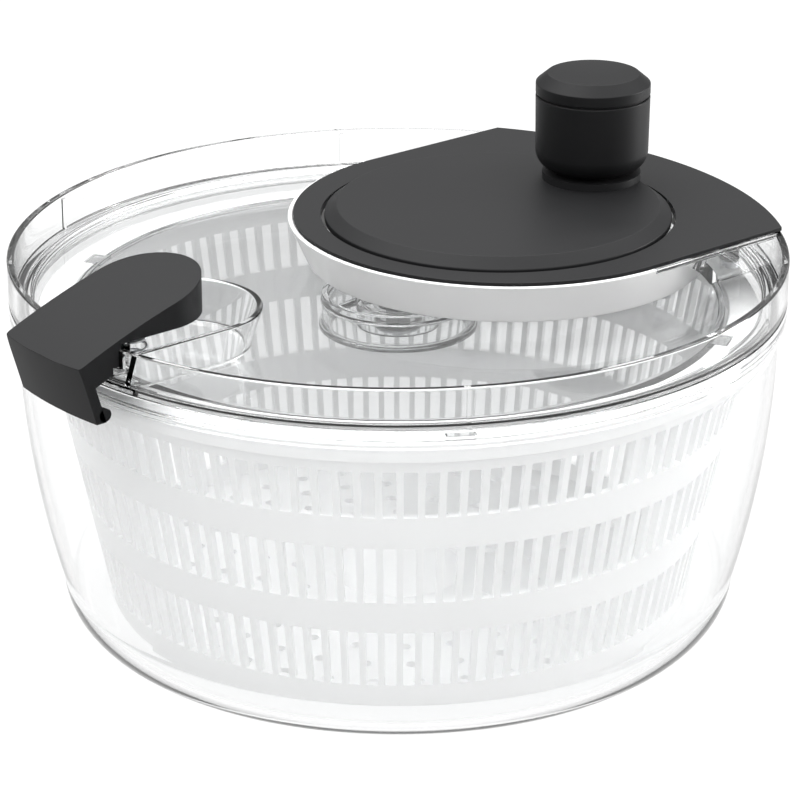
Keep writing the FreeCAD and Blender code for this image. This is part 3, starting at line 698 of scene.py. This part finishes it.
def latch_body(name):
    """The latch as a solid wedge: its curved top, its sides and its round inner end."""
    crest = arc_points((-138.3, flap_top), (tip_x, 139.4), -1.6, 20) + [(tip_x, 139.4)]
    outline = [(-142.2, flap_low), (-142.2, flap_top)] + crest + [(tip_x, flap_low)]
    body = side_profile(name, outline, -latch_half, latch_half)
    ease, corner_x = 2.6, -135.4
    plan = turn_points(round_x, 0.0, latch_half, 90, -90, 48)
    plan += turn_points(corner_x, ease - latch_half, ease, -90, -180, 8)
    plan += turn_points(corner_x, latch_half - ease, ease, 180, 90, 8)
    return combine(body, prism("plan", plan, 90.0, 150.0), "INTERSECT")


def latch_part(name, low, high):
    """The share of the wedge that lies in a block."""
    return combine(latch_body(name), block_object(name + "_cut", low, high), "INTERSECT")


latch = latch_part("latch_skin", (-150.0, -30.0, 126.5), (-60.0, 30.0, 150.0))
combine(latch, cylinder("reach", flap_out, 90.0, 150.0), "INTERSECT")
flap = latch_body("flap")
flap_line = [(126.6, 117.6), (132.95, 114.9), (129.6, flap_low), (133.0, flap_low),
             (flap_out, flap_top), (flap_out, 140.0), (126.6, 140.0)]
combine(flap, new_object("flap_ring", lathe_mesh("flap_ring", flap_line)), "INTERSECT")
combine(latch, flap, "UNION")
combine(latch, latch_part("bridge", (-127.6, -30.0, 119.6), (-122.0, 30.0, 127.0)), "UNION")
hook_line = [(125.0, 103.7), (131.5, flap_low), (131.5, 107.3), (129.6, 107.3), (125.0, 105.9),
             (124.2, 104.9)]
bead_line = turn_points(129.9, 105.5, 2.1, 0, 360, 16)[:-1]
for name, section, half in (("hook", hook_line, 15.0), ("bead", bead_line, latch_half)):
    ring = new_object(name, lathe_mesh(name, section))
    sector = block_object("sector", (-140.0, -half, 100.0), (-100.0, half, 110.0))
    combine(latch, combine(ring, sector, "INTERSECT"), "UNION")
neck_half = 7.9
neck = latch_part("neck", (-125.0, -neck_half, 119.6), (pin_x, neck_half, 127.0))
combine(latch, neck, "UNION")
web = block_object("web", (pin_x - 3.6, -neck_half, pin_z), (pin_x + 3.6, neck_half, 127.0))
barrel = turn_points(pin_x, pin_z, 3.6, 0, 360, 48)[:-1]
barrel = side_profile("barrel", barrel, -neck_half, neck_half)
combine(latch, combine(barrel, web, "UNION"), "UNION")
combine(latch, cylinder("spring_well", 5.7, 125.0, 129.6, -103.0, 48), "DIFFERENCE")
tidy(latch, 28)
chamfer(latch, 0.7, 28)
fit(latch, "latch", "dark_plastic", latch_black, "latch")


# ---- Stage, light and camera ---------------------------------------------------------------
# A white floor that gives its own even light, a room that is bright overhead and dimmer all
# round, three soft panels, and one view from the front left, a little above the lid.

floor_white, _, _, surface = material("floor_white")
set_surface(
    surface,
    Base_Color=(0.04, 0.04, 0.04, 1.0),
    Roughness=0.9,
    Emission_Color=(1.0, 1.0, 1.0, 1.0),
    Emission_Strength=1.0,
    Specular_IOR_Level=0.0,
)
stage_floor = cylinder("stage_floor", 9000.0, -20.0, -0.2, 0.0, 64)
stage_floor.data.materials.append(floor_white)

room = bpy.data.worlds.new("room")
bpy.context.scene.world = room
room.use_nodes = True
backdrop = room.node_tree.nodes["Background"]
sky = Shade(room.node_tree)
upward = sky.node("ShaderNodeSeparateXYZ", None, {0: sky.node("ShaderNodeTexCoord")}, 2)
rise = sky.node("ShaderNodeMapRange", {"interpolation_type": "SMOOTHSTEP"},
                {"Value": upward, "From Min": 0.35, "From Max": 0.85, "To Min": 0.42, "To Max": 3.9})
room.node_tree.links.new(rise.out, backdrop.inputs["Strength"])
backdrop.inputs["Color"].default_value = (1.0, 1.0, 1.0, 1.0)


def soft_light(name, place, target, size, power):
    """A large soft panel light that faces a point, in metres and watts."""
    panel = bpy.data.lights.new(name, "AREA")
    panel.shape, panel.energy = "RECTANGLE", power
    panel.size, panel.size_y = size
    made = bpy.data.objects.new(name, panel)
    made.location = place
    made.rotation_euler = (Vector(target) - Vector(place)).to_track_quat("-Z", "Y").to_euler()
    bpy.context.scene.collection.objects.link(made)


soft_light("top_panel", (-0.2, 0.3, 1.1), (0.0, 0.0, 0.1), (0.9, 0.7), 6.0)
soft_light("front_panel", (-0.7, -1.1, 0.85), (0.0, 0.0, 0.05), (0.9, 0.6), 5.5)
soft_light("right_panel", (0.85, -0.42, 0.2), (0.08, 0.0, 0.15), (0.2, 0.5), 9.0)

look_at = Vector((0.46, -0.38, 70.9)) * MM
eye = Vector((-626.6, -758.3, 472.3)) * MM
lens = bpy.data.cameras.new("camera")
lens.lens, lens.sensor_width = 146.1, 36.0
lens.clip_start, lens.clip_end = 0.05, 50.0
camera = bpy.data.objects.new("camera", lens)
camera.location = eye
camera.rotation_euler = (look_at - eye).to_track_quat("-Z", "Y").to_euler()
bpy.context.scene.collection.objects.link(camera)
bpy.context.scene.camera = camera
bpy.context.scene.view_settings.view_transform = "Standard"
